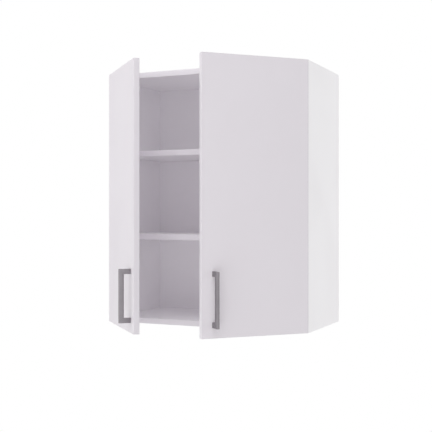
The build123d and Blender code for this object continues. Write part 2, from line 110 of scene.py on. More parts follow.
# Cups of the concealed hinges, with an angle in radians just past their ears
HINGE_END_DISTANCE = 100.0 * MM
CUP_RADIUS = 17.4 * MM
CUP_WALL = 1.0 * MM
CUP_DEPTH = 11.7 * MM
CUP_EDGE_DISTANCE = 22.5 * MM
CUP_FLOOR_BEND = 2.2 * MM
CUP_FLOOR_RINGS = (0.1, 0.6)
CUP_SCREW_SPACING = 48.0 * MM
LIP_RADIUS = 0.4 * MM
FLANGE_THICKNESS = 1.0 * MM
FLANGE_RADIUS = 19.0 * MM
FLANGE_ARRIS = 0.45 * MM
FLANGE_FOOT = 0.1 * MM
EAR_OFFSET = 6.0 * MM
EAR_WIDTH = 16.0 * MM
EAR_LENGTH = 62.0 * MM
EAR_CORNER = 5.3 * MM
EAR_MARGIN = 0.004

# Their mounting plates: a wing and a rib, each so wide and so long
PLATE_SETBACK = 37.0 * MM
PLATE_THICKNESS = 2.0 * MM
PLATE_WING = (18.0 * MM, 48.0 * MM)
PLATE_RIB = (38.0 * MM, 13.0 * MM)
PLATE_RIB_HEIGHT = 8.5 * MM
PLATE_CORNER = 6.0 * MM
PLATE_ARRIS = 0.4 * MM
RIB_CORNER = 1.5 * MM
RIB_ARRIS = 0.6 * MM
PLATE_SCREW_SPACING = 32.0 * MM

# Their arms and link pins
ARM_SHEET = 1.5 * MM
ARM_HALF_WIDTH = 8.5 * MM
ARM_CORNER = 2.0 * MM
ARM_BEND = 1.6 * MM
ARM_BEND_SAMPLES = 9
ARM_CLEARANCE = 0.5 * MM
ARM_REAR_OVERHANG = 3.0 * MM
ARM_HIGH_END = 1.0 * MM
ARM_FLANGE_END = 6.0 * MM
ARM_STATIONS = 66
ARM_NOSE = 2.2 * MM
ARM_NOSE_SHARE = 0.85
ARM_SCREW_BACK = 9.0 * MM
ARM_ADJUSTER_BACK = -10.0 * MM
LINK_PIN_INSET = 31.0 * MM
LINK_PIN_FORWARD = 8.5 * MM
LINK_PIN_RADIUS = 1.25 * MM
LINK_RADIUS = 2.1 * MM
RIVET_HEAD = (1.9 * MM, 0.35 * MM)

# Screws: head radius, head height, shank radius, length under the head, thread pitch
PLATE_SCREW = np.array((4.0, 1.6, 2.5, 13.0, 1.9)) * MM
ARM_SCREW = np.array((4.5, 2.5, 3.0, 10.0, 1.2)) * MM
ADJUSTER_SCREW = np.array((2.7, 0.5, 1.6, 1.4, 0.8)) * MM
CUP_SCREW = np.array((3.4, 0.9, 1.75, 13.0, 1.5)) * MM
HANDLE_SCREW = np.array((4.2, 2.0, 2.0, 28.0, 1.0)) * MM
HANGER_SCREW = np.array((3.5, 1.2, 1.75, 20.0, 1.5)) * MM

# Where the left hanger's screws sit, across and up
HANGER_SCREWS = np.array(((-292.0, 12.6), (-292.0, -8.1), (-263.8, 27.0))) * MM

# Every screw's head, in head radii or, for the sag and the rim's greatest height, in head
# heights. The cross's profile has shares of its outline and of its depth, and the rings lie at
# shares of the way from it to the rim.
CROSS_REACH = 0.58
CROSS_MAX_DEPTH = 0.75
CROSS_ANGLE = radians(15)
CROSS_PROFILE = ((0.22, 1.0), (0.60, 0.8), (0.88, 0.2))
HEAD_RINGS = (0.15, 0.4, 0.7, 1.0)
HEAD_SAG = 0.35
RIM_MAX_HEIGHT = 0.45
RIM_ROUNDING = 0.16
SUNK_RIM_ROUNDING = 0.04

# Every screw below its head, in shank radii, and the thread's rows to a turn
CROSS_BELOW_SEAT = 0.6
NECK_LENGTH = 0.3
THREAD_ROWS = 6
THREAD_DEPTH = 0.20
THREAD_START = 0.5
THREAD_END = 0.2
POINT_LENGTH = 1.6
POINT_RADIUS = 0.25
TIP_RADIUS = 0.12

# Cams. The slot's profile has shares of its outline, and the rest shares of the radius, each
# with a height. One ring lies halfway between the slot and a share of the radius.
CAM_RADIUS = 7.4 * MM
CAM_HEIGHT = 12.5 * MM
CAM_DISTANCE = 24.0 * MM
CAM_SLOT_REACH = 5.25 * MM
CAM_SLOT_PROFILE = ((0.2, -2.0 * MM), (0.92, -1.9 * MM), (1.0, 0.0))
CAM_FACE = 0.76
CAM_PROFILE = ((0.78, 0.0), (0.80, -0.35 * MM), (0.86, -0.35 * MM), (0.88, 0.0), (0.96, 0.0),
               (1.0, -0.3 * MM), (1.0, 0.5 * MM - CAM_HEIGHT), (0.94, -CAM_HEIGHT))

# Dowels and bumpers
JOINT_FRONT = 40.0 * MM
JOINT_REAR = 104.0 * MM
DOWEL_STEP = 32.0 * MM
DOWEL_RADIUS = 4.0 * MM
DOWEL_DEPTHS = (10.0 * MM, 19.0 * MM)
DOWEL_CHAMFER = 0.8 * MM
DOWEL_CENTRE = 0.3
DOWEL_FLUTES = 16
DOWEL_FLUTE_DEPTH = 0.07
DOWEL_TURN = np.linspace(0, 2 * pi, 4 * DOWEL_FLUTES, endpoint=False)
BUMPER_RADIUS = 4.0 * MM
BUMPER_HEIGHT = 1.6 * MM
BUMPER_RINGS = np.linspace(0.08, 0.96, 12)
BUMPER_FALL = 0.85
BUMPER_RIM = 0.1
BUMPER_FOOT = 0.5
BUMPER_INSET = 20.0 * MM

# ------------ places, left door shut

door_low = np.array((left_x + DOOR_SIDE_REVEAL, front_y - DOOR_GAP - DOOR_THICKNESS,
                     bottom_z + DOOR_END_REVEAL))
door_high = np.array((-DOOR_CENTRE_GAP / 2, front_y - DOOR_GAP, top_z - DOOR_END_REVEAL))
hinge_heights = {"upper": door_high[2] - HINGE_END_DISTANCE,
                 "lower": door_low[2] + HINGE_END_DISTANCE}
handle_x = door_high[0] - HANDLE_EDGE_DISTANCE
handle_low_z = door_low[2] + HANDLE_END_DISTANCE
cup_x = door_low[0] + CUP_EDGE_DISTANCE
plate_y = front_y + PLATE_SETBACK
rib_x = inner_x + PLATE_THICKNESS + PLATE_RIB_HEIGHT
link_pin_x = left_x + LINK_PIN_INSET
link_pin_y = front_y - LINK_PIN_FORWARD

X_AXIS = np.array((1.0, 0.0, 0.0))
Y_AXIS = np.array((0.0, 1.0, 0.0))
Z_AXIS = np.array((0.0, 0.0, 1.0))


# ------------ surfaces as arrays

# A shape is (points, quads, caps): an array of points, an array of four-cornered faces, and a
# list of many-cornered faces that close its ends.

def grid_shape(grid, ring=False):
    """Faces between neighbouring rows and columns of a grid of points whose columns close on
    themselves. The first and last rows are closed by caps, or joined to each other in a ring."""
    rows, columns = grid.shape[:2]
    number = np.arange(rows * columns).reshape(rows, columns)
    upper = np.roll(number, -1, axis=0) if ring else number[1:]
    lower = number if ring else number[:-1]
    quads = np.stack((lower, np.roll(lower, -1, axis=1), np.roll(upper, -1, axis=1), upper), -1)
    caps = [] if ring else [number[0, ::-1], number[-1]]
    return outward((grid.reshape(-1, 3), quads.reshape(-1, 4), caps))


def outward(shape):
    """The shape with its faces turned outwards. The sum of p0 . (p1 x p2) over the triangles of
    a closed surface is six times its volume, and is negative when the faces look inwards."""
    points, quads, caps = shape
    fans = [quads[:, [0, 1, 2]], quads[:, [0, 2, 3]]]
    fans += [np.stack((np.full(len(cap) - 2, cap[0]), cap[1:-1], cap[2:]), -1) for cap in caps]
    corners = points[np.concatenate(fans)]
    volume = np.einsum("ij,ij->", corners[:, 0], np.cross(corners[:, 1], corners[:, 2]))
    if volume > 0:
        return shape
    return points, quads[:, ::-1], [cap[::-1] for cap in caps]


def placed(shape, origin, x_axis, y_axis):
    """A shape carried from its own axes to the given ones: origin + x X + y Y + z (X x Y)."""
    points, quads, caps = shape
    axes = np.array((x_axis, y_axis, np.cross(x_axis, y_axis)))
    return points @ axes + np.asarray(origin), quads, caps


def turning(angle):
    """The matrix that turns a column about Z: (x cos a - y sin a, x sin a + y cos a, z)."""
    return np.array(((cos(angle), -sin(angle), 0.0), (sin(angle), cos(angle), 0.0), Z_AXIS))


def opened(points):
    """Points of the shut left door, turned about the hinge line to where the door stands."""
    return (points - hinge_line) @ turning(door_angle) + hinge_line


def mirrored(shape):
    """The same piece on the other side: x becomes -x, so each face is turned round."""
    points, quads, caps = shape
    return points * np.array((-1.0, 1.0, 1.0)), quads[:, ::-1], [cap[::-1] for cap in caps]


def joined(shapes):
    """Several closed shapes as one."""
    starts = np.cumsum([0] + [len(shape[0]) for shape in shapes[:-1]])
    points = np.vstack([shape[0] for shape in shapes])
    quads = np.vstack([shape[1] + start for shape, start in zip(shapes, starts)])
    caps = [cap + start for shape, start in zip(shapes, starts) for cap in shape[2]]
    return points, quads, caps


def rounded_outline(corners, radii):
    """A polygon, counter-clockwise, with an arc at each corner. The arc's centre is the corner
    moved by the radius against both sides' normals, (n0 + n1) / (1 + n0 . n1), and its points lie
    at the radius along normals that turn evenly from one side's to the next. At an inner corner
    the radius is negative. Returns the points and their outward normals."""
    corners = np.asarray(corners, float)
    sides = np.roll(corners, -1, axis=0) - corners
    sides /= np.linalg.norm(sides, axis=1)[:, None]
    after = np.stack((sides[:, 1], -sides[:, 0]), axis=-1)
    before = np.roll(after, 1, axis=0)
    dots = np.einsum("ij,ij->i", before, after)
    turn = np.arctan2(before[:, 0] * after[:, 1] - before[:, 1] * after[:, 0], dots)
    radius = np.sign(turn) * radii
    centres = corners - radius[:, None] * (before + after) / (1 + dots)[:, None]
    start = np.arctan2(before[:, 1], before[:, 0])
    angle = start[:, None] + turn[:, None] * np.linspace(0, 1, ARC_STEPS + 1)
    normals = np.stack((np.cos(angle), np.sin(angle)), axis=-1)
    points = centres[:, None, :] + radius[:, None, None] * normals
    return points.reshape(-1, 2), normals.reshape(-1, 2)


def rectangle(width, length):
    """Corners of a rectangle about the origin, counter-clockwise."""
    x, y = width / 2, length / 2
    return [(-x, -y), (x, -y), (x, y), (-x, y)]


def lifted(corners, radii, insets, heights):
    """A rounded outline carried along Z. At each height it is drawn in along its normals by the
    inset there."""
    outline, normals = rounded_outline(corners, radii)
    flat = outline - np.reshape(insets, (-1, 1, 1)) * normals
    levels = np.broadcast_to(np.reshape(heights, (-1, 1, 1)), flat.shape[:2] + (1,))
    return grid_shape(np.concatenate((flat, levels), axis=-1))


def slab(corners, radii, thickness, arris):
    """A plate with rounded arrises: near each face, its outline is drawn in by
    arris (1 - sin a) at a depth of arris (1 - cos a)."""
    angle = np.linspace(0, pi / 2, ARC_STEPS)
    inset = arris * (1 - np.sin(angle))
    depth = arris * (1 - np.cos(angle))
    return lifted(corners, radii, np.concatenate((inset, inset[::-1])),
                  np.concatenate((depth, thickness - depth[::-1])))


def turned(profile, angles=TURN):
    """A profile carried round the Z axis: (r cos t, r sin t, z). Each step of the profile is a
    radius and a height, each of them one number, or one for each angle t."""
    steps = [[np.broadcast_to(value, len(angles)) for value in step] for step in profile]
    radius, height = np.array(steps).swapaxes(0, 1)
    return grid_shape(np.stack((radius * np.cos(angles), radius * np.sin(angles), height), -1))


def quarter(centre_r, centre_z, radius, start):
    """Steps of a profile on a quarter circle, clockwise from an angle in degrees."""
    angle = radians(start) - np.linspace(0, pi / 2, ARC_STEPS)
    return list(zip(centre_r + radius * np.cos(angle), centre_z + radius * np.sin(angle)))


def cross_outline(half_width, reach_x, reach_y):
    """Radii of a cross about its middle. A ray leaves the arm along X where |x| is its reach or
    |y| its half width, whichever comes first, the arm along Y likewise, and the further one
    counts."""
    x = np.maximum(np.abs(np.cos(TURN)), 1e-9)
    y = np.maximum(np.abs(np.sin(TURN)), 1e-9)
    return np.maximum(np.minimum(reach_x / x, half_width / y),
                      np.minimum(half_width / x, reach_y / y))


# ------------ node trees

def put(tree, kind, inputs=None, **settings):
    """Adds a node. Each input is an output socket to join, or a value to set."""
    made = tree.nodes.new(kind)
    for key, value in settings.items():
        setattr(made, key, value)
    for key, value in (inputs or {}).items():
        if isinstance(value, bpy.types.NodeSocket):
            tree.links.new(value, made.inputs[key])
        else:
            made.inputs[key].default_value = value
    return made


def maths(tree, operation, *values):
    """The result of maths nodes, which take the values two by two from the left."""
    pair = dict(enumerate(values[:2]))
    result = put(tree, "ShaderNodeMath", pair, operation=operation).outputs[0]
    return maths(tree, operation, result, *values[2:]) if values[2:] else result


def total(tree, *terms):
    """The sum of terms, each of them a value, or a value and its weight."""
    return maths(tree, "ADD", *(maths(tree, "MULTIPLY", *term) if isinstance(term, tuple) else term
                                for term in terms))


def ramp(tree, value, span, to=(0.0, 1.0), smooth=False):
    """A value carried from one range to another and held at its ends."""
    return put(tree, "ShaderNodeMapRange", {0: value, 1: span[0], 2: span[1], 3: to[0], 4: to[1]},
               interpolation_type="SMOOTHSTEP" if smooth else "LINEAR").outputs[0]


def blended(tree, factor, first, second):
    """A colour between two others."""
    mix = put(tree, "ShaderNodeMix", {0: factor, 6: first, 7: second}, data_type="RGBA")
    return mix.outputs[2]


def noise(tree, vector, scale, detail, roughness):
    """Noise about 0.5, its scale in cycles per metre, all round or along each axis."""
    if isinstance(scale, tuple):
        vector = put(tree, "ShaderNodeMapping", {"Vector": vector, "Scale": scale}).outputs[0]
        scale = 1.0
    return put(tree, "ShaderNodeTexNoise", {"Vector": vector, "Scale": scale, "Detail": detail,
                                            "Roughness": roughness}).outputs["Fac"]


def cells(tree, vector, scale, **settings):
    """The outputs of a Voronoi pattern, in cells per metre."""
    return put(tree, "ShaderNodeTexVoronoi", {"Vector": vector, "Scale": scale},
               **settings).outputs


def shade_of(tree, colour):
    """One channel of a cell's colour, as its shade."""
    return put(tree, "ShaderNodeSeparateColor", {0: colour}).outputs[0]


def split(tree, vector):
    """The x, y and z of a vector."""
    return put(tree, "ShaderNodeSeparateXYZ", {0: vector}).outputs


def group(inputs, outputs):
    """Makes a shared node group of a rule, under the rule's name. The rule takes the group's tree
    and inputs and gives its outputs by name. Each socket has a name and a kind."""
    def build(rule):
        """The node group, filled in by the rule."""
        tree = bpy.data.node_groups.new(rule.__name__, "ShaderNodeTree")
        for way, sockets in (("INPUT", inputs), ("OUTPUT", outputs)):
            for name, kind in sockets.items():
                tree.interface.new_socket(name=name, in_out=way, socket_type="NodeSocket" + kind)
        start = put(tree, "NodeGroupInput").outputs
        put(tree, "NodeGroupOutput", rule(tree, *(start[name] for name in inputs)))
        return tree
    return build


def use(tree, effect, **inputs):
    """The outputs of a node group placed in a tree."""
    named = {name.replace("_", " "): value for name, value in inputs.items()}
    return put(tree, "ShaderNodeGroup", named, node_tree=effect).outputs


# ------------ patterns and colours

# Noises: cycles per metre, all round or along x, y and z, then detail and roughness
PEARL = (1500.0, 3.0, 0.6)
SWELLS = (14.0, 2.0, 0.5)
SLOW_TONES = (5.0, 3.0, 0.6)
PATCHES = (7.0, 2.0, 0.5)
WIPES = ((60.0, 60.0, 9.0), 4.0, 0.65)
BREAKS = (260.0, 4.0, 0.6)
DUST = (1600.0, 3.0, 0.7)
MATTED_FIBRES = ((900.0, 900.0, 260.0), 4.0, 0.65)
STAINS = (9.0, 3.0, 0.6)
HAIRLINES = ((5200.0, 5200.0, 30.0), 3.0, 0.6)
STROKES = ((1400.0, 1400.0, 12.0), 2.0, 0.5)
CLOUDS = (40.0, 3.0, 0.55)
FEATHERS = ((3000.0, 900.0, 500.0), 3.0, 0.6)
SCRAPER_LINES = ((2600.0, 2600.0, 35.0), 2.0, 0.5)
CAST_GRAIN = (1800.0, 3.0, 0.65)
RUBBING = (90.0, 4.0, 0.6)
BEECH_FIBRES = ((60.0, 1500.0, 1500.0), 4.0, 0.6)
BEECH_FLECKS = ((300.0, 2400.0, 2400.0), 1.0, 0.5)
HAZE = (900.0, 3.0, 0.6)

# Cells per metre, and the pitch of the hardboard's wire screen
PORES = 700.0
FLAKES = 520.0
CRYSTALS = 300.0
SCREEN_PITCH = 1.3 * MM

# Parts of a pattern's range that are spread over the whole
MOST = (0.3, 0.7)
MIDDLE = (0.35, 0.65)
METAL_TONES = (0.32, 0.68)
CRYSTAL_SHADES = (0.25, 0.75)
HIGH_PATCHES = (0.48, 0.66)
WORN_PLACES = (0.40, 0.62)
RUBBED_PLACES = (0.45, 0.70)
DARK_FLECKS = (0.60, 0.72)
SUNK_JOINTS = (0.0, 0.12)

# Pairs of tones, and colours laid over them. The four whites are one melamine white, set lighter or darker in each
# place: painted light on the carcass and the shelf bands, painted shade on the doors and the other bands.
# The carcass's white is lighter than the doors': painted light, brightening the shaded inside of the cabinet
CARCASS_WHITE_WITH_PAINTED_LIGHT = ((0.927, 0.915, 0.933, 1.0), (0.916, 0.901, 0.919, 1.0))
# The doors' white is darker than the carcass's: painted shade
DOOR_WHITE_WITH_PAINTED_SHADE = ((0.870, 0.833, 0.878, 1.0), (0.856, 0.817, 0.862, 1.0))
# The band white is darker than the boards it edges: painted shade on the front edges
BAND_WHITE_WITH_PAINTED_SHADE = ((0.828, 0.796, 0.838, 1.0), (0.814, 0.781, 0.822, 1.0))
# The shelf bands' white is lighter than the other bands': painted light on the shelf edges, which sit back in the
# doors' shade
SHELF_BAND_WHITE_WITH_PAINTED_LIGHT = ((0.892, 0.866, 0.900, 1.0), (0.878, 0.850, 0.884, 1.0))
CHIP_BROWN = ((0.30, 0.19, 0.09, 1.0), (0.66, 0.49, 0.29, 1.0))
HARDBOARD_BROWN = ((0.20, 0.115, 0.060, 1.0), (0.37, 0.235, 0.135, 1.0))
ZINC_GREY = ((0.36, 0.37, 0.38, 1.0), (0.50, 0.51, 0.52, 1.0))
BEECH_BROWN = ((0.62, 0.42, 0.25, 1.0), (0.80, 0.62, 0.42, 1.0))
BUMPER_GREY = ((0.78, 0.78, 0.78, 1.0), (0.90, 0.90, 0.90, 1.0))
RUBBED_WHITE = (0.66, 0.63, 0.64, 1.0)
RUBBED_ZINC = (0.33, 0.33, 0.34, 1.0)
FLECK_BROWN = (0.40, 0.23, 0.12, 1.0)

# Metals: pair of tones, roughness, relief, and the share of cast grain in the relief
METALS = {
    "handle_metal": (((0.212, 0.197, 0.213, 1.0), (0.264, 0.248, 0.265, 1.0)),
                     (0.36, 0.46), 0.02 * MM, 0.0),
    "hardware_steel": (((0.52, 0.51, 0.51, 1.0), (0.66, 0.65, 0.65, 1.0)),
                       (0.24, 0.36), 0.01 * MM, 0.3),
    "cam_metal": (((0.44, 0.44, 0.45, 1.0), (0.58, 0.58, 0.59, 1.0)),
                  (0.38, 0.52), 0.04 * MM, 0.9)}

# Roughness and relief of the other finishes
BOARD_ROUGHNESS = (0.40, 0.46)
BAND_ROUGHNESS = (0.34, 0.40)
ZINC_ROUGHNESS = (0.50, 0.40)
BEECH_ROUGHNESS = (0.6, 0.75)
BUMPER_ROUGHNESS = (0.18, 0.34)
BOARD_RELIEF = 0.12 * MM
ZINC_RELIEF = 0.02 * MM
BEECH_RELIEF = 0.1 * MM
BUMPER_RELIEF = 0.03 * MM
FACE_DEPTH = 0.15 * MM
WEAR_WIDTH = 1.2 * MM


# ------------ effects shared by materials

@group({"Place": "Vector", "Half Size": "Vector", "Faces": "Vector"},
       {"Arris": "Float", "Faced": "Float"})
def board_places(tree, place, half_size, faces):
    """Where a point lies on a board. With d = half size - |p|, the middle one of dx, dy and dz is
    the distance to the nearest arris, min(max(dx, dy), max(dy, dz), max(dx, dz))."""
    size = put(tree, "ShaderNodeVectorMath", {0: place}, operation="ABSOLUTE").outputs[0]
    gaps = put(tree, "ShaderNodeVectorMath", {0: half_size, 1: size}, operation="SUBTRACT")
    x, y, z = split(tree, gaps.outputs[0])
    pairs = [maths(tree, "MAXIMUM", *pair) for pair in ((x, y), (y, z), (x, z))]
    shown = [maths(tree, "MULTIPLY", maths(tree, "LESS_THAN", gap, FACE_DEPTH), face)
             for gap, face in zip((x, y, z), split(tree, faces))]
    return {"Arris": maths(tree, "MINIMUM", *pairs), "Faced": maths(tree, "MAXIMUM", *shown)}


@group({"Place": "Vector"}, {"Height": "Float", "Tone": "Float"})
def pearl_grain(tree, place):
    """The fine pearl of a pressed melamine face, and slow swells of the board below it."""
    fine = noise(tree, place, *PEARL)
    pores = cells(tree, place, PORES, feature="SMOOTH_F1")["Distance"]
    swells = noise(tree, place, *SWELLS)
    return {"Height": total(tree, (fine, 0.5), (pores, 0.5), (swells, 0.8)),
            "Tone": total(tree, (noise(tree, place, *SLOW_TONES), 0.7), (fine, 0.3))}


@group({"Place": "Vector"}, {"Marks": "Float"})
def handling(tree, place):
    """Faint wiped streaks and finger marks: where two slow noises are both high."""
    patches = ramp(tree, noise(tree, place, *PATCHES), HIGH_PATCHES, smooth=True)
    return {"Marks": maths(tree, "MULTIPLY", patches, noise(tree, place, *WIPES))}


@group({"Place": "Vector", "Arris": "Float", "Width": "Float"}, {"Wear": "Float"})
def arris_wear(tree, place, arris, width):
    """Rubbed arrises: full at the edge, gone within the width, broken up by noise."""
    near = maths(tree, "SUBTRACT", 1.0, maths(tree, "DIVIDE", arris, width))
    broken = ramp(tree, noise(tree, place, *BREAKS), WORN_PLACES, smooth=True)
    return {"Wear": maths(tree, "MULTIPLY", maths(tree, "MAXIMUM", near, 0.0), broken)}


@group({"Place": "Vector"}, {"Colour": "Color", "Height": "Float"})
def chips(tree, place):
    """Sawn particle board: pressed flakes, each cell of a Voronoi pattern with its own shade."""
    flakes = cells(tree, place, FLAKES)
    shade = shade_of(tree, flakes["Color"])
    value = total(tree, (shade, 0.65), (noise(tree, place, *DUST), 0.35))
    return {"Colour": blended(tree, value, *CHIP_BROWN),
            "Height": maths(tree, "SUBTRACT", shade, flakes["Distance"])}


@group({"Place": "Vector"}, {"Colour": "Color", "Height": "Float"})
def hardboard(tree, place):
    """Raw side of a hardboard sheet: matted fibres under the print of the press's wire screen,
    whose height is sin(2 pi x / p) sin(2 pi z / p)."""
    x, _, z = split(tree, place)
    waves = [maths(tree, "SINE", maths(tree, "MULTIPLY", axis, 2 * pi / SCREEN_PITCH))
             for axis in (x, z)]
    screen = maths(tree, "MULTIPLY", *waves)
    fibres = noise(tree, place, *MATTED_FIBRES)
    value = total(tree, (fibres, 0.6), (noise(tree, place, *STAINS), 0.4), (screen, 0.06))
    return {"Colour": blended(tree, ramp(tree, value, MOST), *HARDBOARD_BROWN),
            "Height": total(tree, (screen, 0.35), fibres)}


@group({"Place": "Vector"}, {"Lines": "Float", "Cloud": "Float"})
def brushing(tree, place):
    """Hairlines along Z: noise stretched far along the stroke, in two widths."""
    fine, wide = noise(tree, place, *HAIRLINES), noise(tree, place, *STROKES)
    return {"Lines": total(tree, (fine, 0.6), (wide, 0.4)), "Cloud": noise(tree, place, *CLOUDS)}


@group({"Place": "Vector"}, {"Shade": "Float", "Height": "Float"})
def spangle(tree, place):
    """Zinc crystals on galvanised sheet: each cell of a Voronoi pattern has its own shade, with
    feathered lines across it, and the joints between crystals are sunk."""
    crystal = shade_of(tree, cells(tree, place, CRYSTALS)["Color"])
    feathers = noise(tree, place, *FEATHERS)
    joints = cells(tree, place, CRYSTALS, feature="DISTANCE_TO_EDGE")["Distance"]
    return {"Shade": total(tree, (crystal, 0.6), (feathers, 0.4)),
            "Height": total(tree, ramp(tree, joints, SUNK_JOINTS), (feathers, 0.3))}


# ------------ materials

def new_material(name):
    """A material with an empty tree: the material, its tree and its object place."""
    material = bpy.data.materials.new(name)
    material.use_nodes = True
    tree = material.node_tree
    tree.nodes.clear()
    return material, tree, put(tree, "ShaderNodeTexCoord").outputs["Object"]


def finished(material, colour, roughness, height, relief, others=None):
    """The material with its shader, whose normal follows a height of so many metres. Others has
    values for more of the shader's sockets."""
    tree = material.node_tree
    normal = put(tree, "ShaderNodeBump", {"Height": height, "Distance": relief}).outputs[0]
    values = {"Base Color": colour, "Roughness": roughness, "Normal": normal, **(others or {})}
    shader = put(tree, "ShaderNodeBsdfPrincipled", values)
    put(tree, "ShaderNodeOutputMaterial", {0: shader.outputs[0]})
    return material


# Its tones default to the carcass white, made lighter as painted light
def board_finish(name, low, high, faces, tones=CARCASS_WHITE_WITH_PAINTED_LIGHT, turn=0.0, raw=chips,
                 front_only=False):
    """White melamine on the named faces of a board, and its raw core where it is cut. The board's
    own axes are centred on it and turned with it; faces has 1 for each faced axis, and a board
    faced on the front only is white where its own y is negative."""
    material, tree, place = new_material(name)
    centre, half = (low + high) / 2, (high - low) / 2
    own = put(tree, "ShaderNodeMapping", {"Vector": place, "Rotation": (0.0, 0.0, turn),
                                          "Location": tuple(-turning(turn) @ centre)}).outputs[0]
    where = use(tree, board_places, Place=own, Half_Size=tuple(half), Faces=faces)
    grain = use(tree, pearl_grain, Place=own)
    marks = use(tree, handling, Place=own)["Marks"]
    wear = use(tree, arris_wear, Place=own, Arris=where["Arris"], Width=WEAR_WIDTH)["Wear"]
    core = use(tree, raw, Place=own)
    faced = where["Faced"]
    if front_only:
        front = maths(tree, "LESS_THAN", split(tree, own)["Y"], 0.0)
        faced = maths(tree, "MULTIPLY", faced, front)
    cut = maths(tree, "SUBTRACT", 1.0, faced)
    white = blended(tree, ramp(tree, grain["Tone"], MIDDLE), *tones)
    white = blended(tree, maths(tree, "MULTIPLY", wear, 0.5), white, RUBBED_WHITE)
    rough = total(tree, ramp(tree, grain["Tone"], MOST, BOARD_ROUGHNESS), (marks, 0.10),
                  (wear, 0.15), (cut, 0.4))
    height = total(tree, (grain["Height"], 0.10),
                   (maths(tree, "MULTIPLY", core["Height"], cut), 2.0))
    return finished(material, blended(tree, faced, core["Colour"], white), rough, height,
                    BOARD_RELIEF)


def band_finish(name, tones):
    """Edge band: white in solid plastic, a little smoother than the board, with faint scraper
    lines."""
    material, tree, place = new_material(name)
    grain = use(tree, pearl_grain, Place=place)
    marks = use(tree, handling, Place=place)["Marks"]
    colour = blended(tree, ramp(tree, grain["Tone"], MIDDLE), *tones)
    colour = blended(tree, maths(tree, "MULTIPLY", marks, 0.12), colour, RUBBED_WHITE)
    rough = total(tree, ramp(tree, grain["Tone"], MOST, BAND_ROUGHNESS), (marks, 0.12))
    height = total(tree, (grain["Height"], 0.05), (noise(tree, place, *SCRAPER_LINES), 0.08))
    return finished(material, colour, rough, height, BOARD_RELIEF)


def metal_finish(name, tones, roughness, relief, grainy):
    """Metal whose tone and gloss follow hairlines and slow clouds, with a cast grain if asked."""
    material, tree, place = new_material(name)
    stroke = use(tree, brushing, Place=place)
    mix = total(tree, (stroke["Lines"], 0.55), (stroke["Cloud"], 0.45))
    height = total(tree, (stroke["Lines"], 1.0 - grainy),
                   (noise(tree, place, *CAST_GRAIN), grainy))
    colour = blended(tree, ramp(tree, mix, METAL_TONES), *tones)
    return finished(material, colour, ramp(tree, mix, MOST, roughness), height, relief,
                    {"Metallic": 1.0})


def zinc_finish():
    """Galvanised sheet: pale crystals, duller where hands and screws have rubbed."""
    material, tree, place = new_material("hanger_zinc")
    crystals = use(tree, spangle, Place=place)
    rubbed = ramp(tree, noise(tree, place, *RUBBING), RUBBED_PLACES, smooth=True)
    colour = blended(tree, ramp(tree, crystals["Shade"], CRYSTAL_SHADES), *ZINC_GREY)
    colour = blended(tree, maths(tree, "MULTIPLY", rubbed, 0.35), colour, RUBBED_ZINC)
    rough = total(tree, ramp(tree, crystals["Shade"], CRYSTAL_SHADES, ZINC_ROUGHNESS),
                  (rubbed, 0.10))
    return finished(material, colour, rough, crystals["Height"], ZINC_RELIEF, {"Metallic": 1.0})


def beech_finish():
    """Raw beech: long fibres along X with short dark flecks."""
    material, tree, place = new_material("dowel_wood")
    fibre = noise(tree, place, *BEECH_FIBRES)
    flecks = ramp(tree, noise(tree, place, *BEECH_FLECKS), DARK_FLECKS)
    colour = blended(tree, fibre, *BEECH_BROWN)
    colour = blended(tree, maths(tree, "MULTIPLY", flecks, 0.5), colour, FLECK_BROWN)
    return finished(material, colour, ramp(tree, fibre, MOST, BEECH_ROUGHNESS), fibre,
                    BEECH_RELIEF)


def bumper_finish():
    """Clear soft plastic, slightly hazy."""
    material, tree, place = new_material("bumper")
    haze = noise(tree, place, *HAZE)
    return finished(material, blended(tree, haze, *BUMPER_GREY),
                    ramp(tree, haze, MOST, BUMPER_ROUGHNESS), haze, BUMPER_RELIEF,
                    {"Transmission Weight": 0.6, "IOR": 1.45})


# The record's material slots, and the two finishes that only some nodes of a slot have: the shelf band and the
# hangers' zinc. The edge band's white is darker than the boards', painted shade, and the shelf band's is lighter
# than the edge band's, painted light.
finishes = {name: metal_finish(name, *values) for name, values in METALS.items()}
finishes["edge_band"] = band_finish("edge_band", BAND_WHITE_WITH_PAINTED_SHADE)
finishes["dowel_wood"] = beech_finish()
finishes["bumper"] = bumper_finish()
shelf_band_with_painted_light = band_finish("shelf_band_with_painted_light", SHELF_BAND_WHITE_WITH_PAINTED_LIGHT)
hanger_zinc = zinc_finish()


# ------------ pieces in the scene

def new_mesh(name, points, faces, material):
    """A mesh with one material."""
    mesh = bpy.data.meshes.new(name)
    mesh.from_pydata(points, [], faces)
    mesh.materials.append(material)
    return mesh


def new_object(name, data):
    """An object in the scene."""
    made = bpy.data.objects.new(name, data)
    bpy.context.scene.collection.objects.link(made)
    return made


def add_piece(name, body, shapes, slot, node, material=None):
    """Puts shapes into one mesh that rides on a body and stands for a CAD node. Its material is
    the slot's, unless another is given."""
    points, quads, caps = joined(shapes)
    faces = quads.tolist() + [cap.tolist() for cap in caps]
    mesh = new_mesh(name, points, faces, material or finishes[slot])
    mesh.polygons.foreach_set("use_smooth", np.ones(len(mesh.polygons), bool))
    mesh.set_sharp_from_angle(angle=SHARP_ANGLE)
    piece = new_object(name, mesh)
    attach(piece, body)
    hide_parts(node)


def add_door_pair(name, shapes, slot, node):
    """A piece of the shut left door, swung open, and its mirror image on the right door."""
    left = [(opened(points), quads, caps) for points, quads, caps in shapes]
    for side, pieces in (("left_", left), ("right_", [mirrored(shape) for shape in left])):
        add_piece(side + name, side + "door", pieces, slot, side + node)


def add_both_sides(name, shapes, slot, node):
    """One carcass piece of left shapes and their mirror images."""
    add_piece(name, "carcass", shapes + [mirrored(shape) for shape in shapes], slot, node)


# ------------ edge bands and handles

